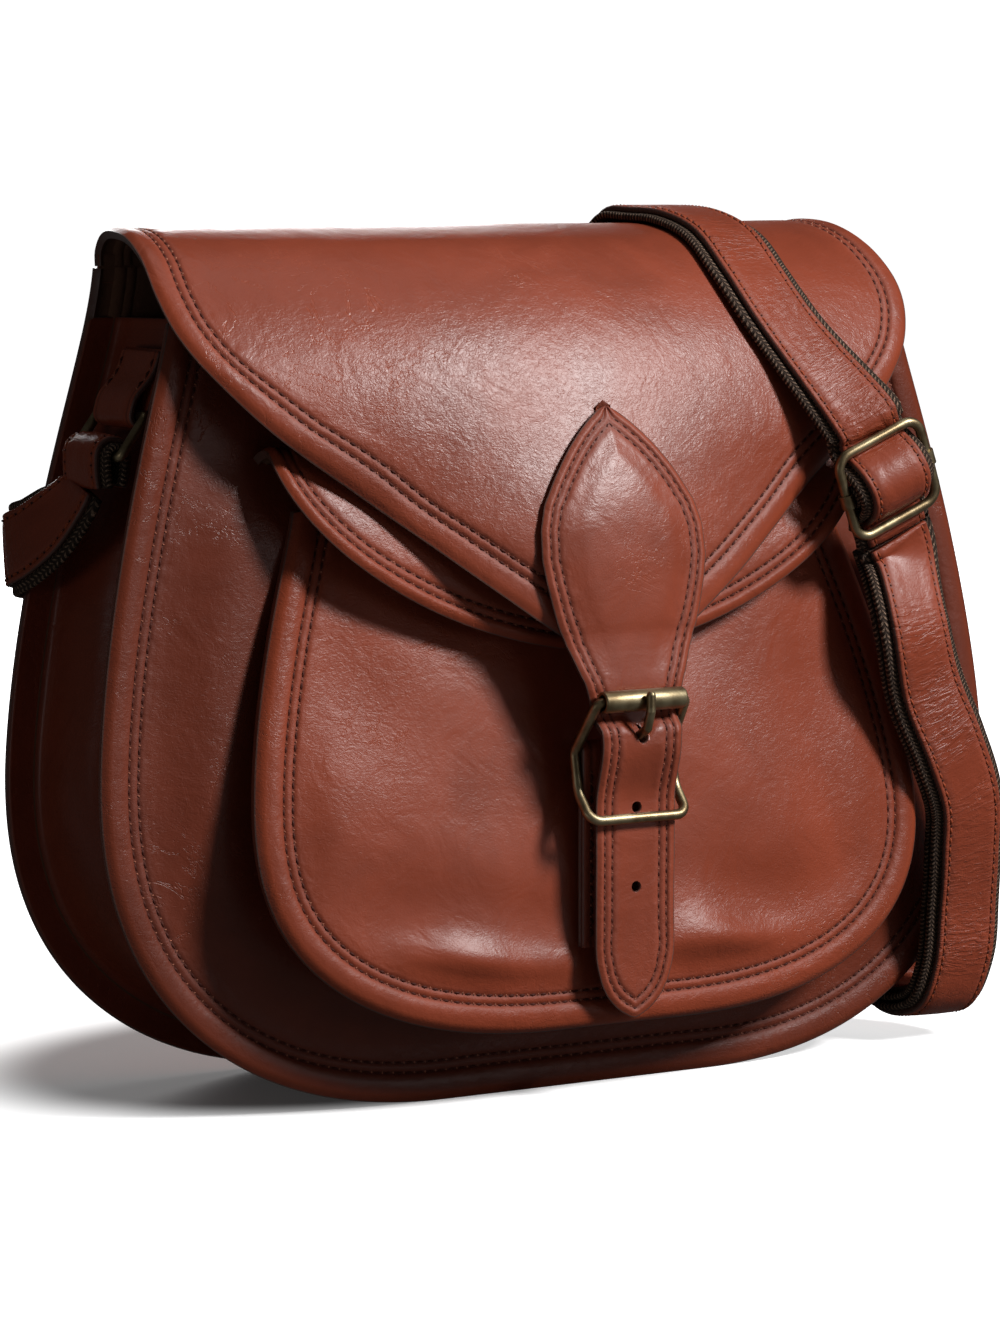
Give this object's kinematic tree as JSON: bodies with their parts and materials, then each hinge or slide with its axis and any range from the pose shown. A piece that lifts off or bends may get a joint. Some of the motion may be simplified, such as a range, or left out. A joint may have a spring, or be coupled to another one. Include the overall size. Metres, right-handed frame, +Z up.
{
  "type": "crossbody saddle bag",
  "caption": "Saddle-shaped leather crossbody bag with a folding flap, a front pocket under its own lid, a buckled magnetic closing strap and an adjustable webbing shoulder strap.",
  "frame": {"origin": "centre of the bounding box's bottom, on the floor that the bag stands on", "axes": "+Z up, -Y is the front with the flap and the buckle, +X is the right of someone who faces the front"},
  "size_m": [0.2822, 0.1151, 0.2387],
  "materials": {
    "leather": "semi-gloss, fine creased grain",
    "leather_light": "semi-gloss, fine creased grain",
    "leather_dark": "semi-gloss, in shade",
    "webbing": "woven, matt",
    "brass": "antique, brushed"
  },
  "bodies": {
    "body": {"front_panel": "leather", "back_panel": "leather", "main_gusset": "leather_dark", "pocket_panel": "leather_light", "pocket_gusset": "leather_dark", "snap_female": "brass", "chape_left": "leather", "chape_right": "leather", "strap_back_leather": "leather_light", "strap_back_webbing": "webbing", "strap_drop_leather": "leather_light", "strap_drop_webbing": "webbing", "strap_drop_inner": "webbing", "strap_turn_leather": "leather_light", "strap_turn_webbing": "webbing", "strap_turn_inner": "webbing", "strap_rise_leather": "leather_light", "strap_rise_webbing": "webbing", "strap_rise_inner": "webbing"},
    "flap": {"flap": "leather", "closing_strap": "leather_light", "buckle_frame": "brass", "buckle_tab": "leather_dark", "snap_male": "brass", "slide_frame": "brass", "slide_bar": "brass", "strap_anchor": "webbing", "strap_front_leather": "leather_light", "strap_front_webbing": "webbing"},
    "pocket_lid": {"pocket_lid": "leather_light"},
    "prong": {"buckle_prong": "brass"},
    "roller": {"buckle_roller": "brass"},
    "ring_left": {"ring_left": "brass", "strap_ring_loop_left": "webbing"},
    "ring_right": {"ring_right": "brass", "strap_ring_loop_right": "webbing"}
  },
  "joints": [
    {"name": "flap_hinge", "type": "hinge", "parent": "body", "child": "flap", "pos_m": [0, 0.04615, 0.2232], "axis": [-1, 0, 0], "range_deg": [0, 50], "deforming": ["strap_back_leather", "strap_back_webbing", "strap_front_leather", "strap_front_webbing", "strap_drop_leather", "strap_drop_webbing", "strap_drop_inner"]},
    {"name": "pocket_lid_hinge", "type": "hinge", "parent": "body", "child": "pocket_lid", "pos_m": [0, -0.00702, 0.1747], "axis": [-1, 0, 0], "range_deg": [0, 60]},
    {"name": "prong_hinge", "type": "hinge", "parent": "flap", "child": "prong", "pos_m": [0, -0.0418, 0.095], "axis": [1, 0, 0], "range_deg": [0, 25]},
    {"name": "roller_spin", "type": "hinge", "parent": "flap", "child": "roller", "pos_m": [0, -0.052, 0.1092], "axis": [1, 0, 0], "continuous": true},
    {"name": "ring_left_swing", "type": "hinge", "parent": "body", "child": "ring_left", "pos_m": [-0.11644, 0.022, 0.185], "axis": [0, 1, 0], "range_deg": [-10, 30], "deforming": ["strap_back_leather", "strap_back_webbing"]},
    {"name": "ring_right_swing", "type": "hinge", "parent": "body", "child": "ring_right", "pos_m": [0.11644, 0.022, 0.185], "axis": [0, -1, 0], "range_deg": [-10, 30], "deforming": ["strap_rise_leather", "strap_rise_webbing", "strap_rise_inner"]}
  ],
  "couplings": [
    {"joint": "pocket_lid_hinge", "follows": "flap_hinge", "ratio": 1.2}
  ]
}
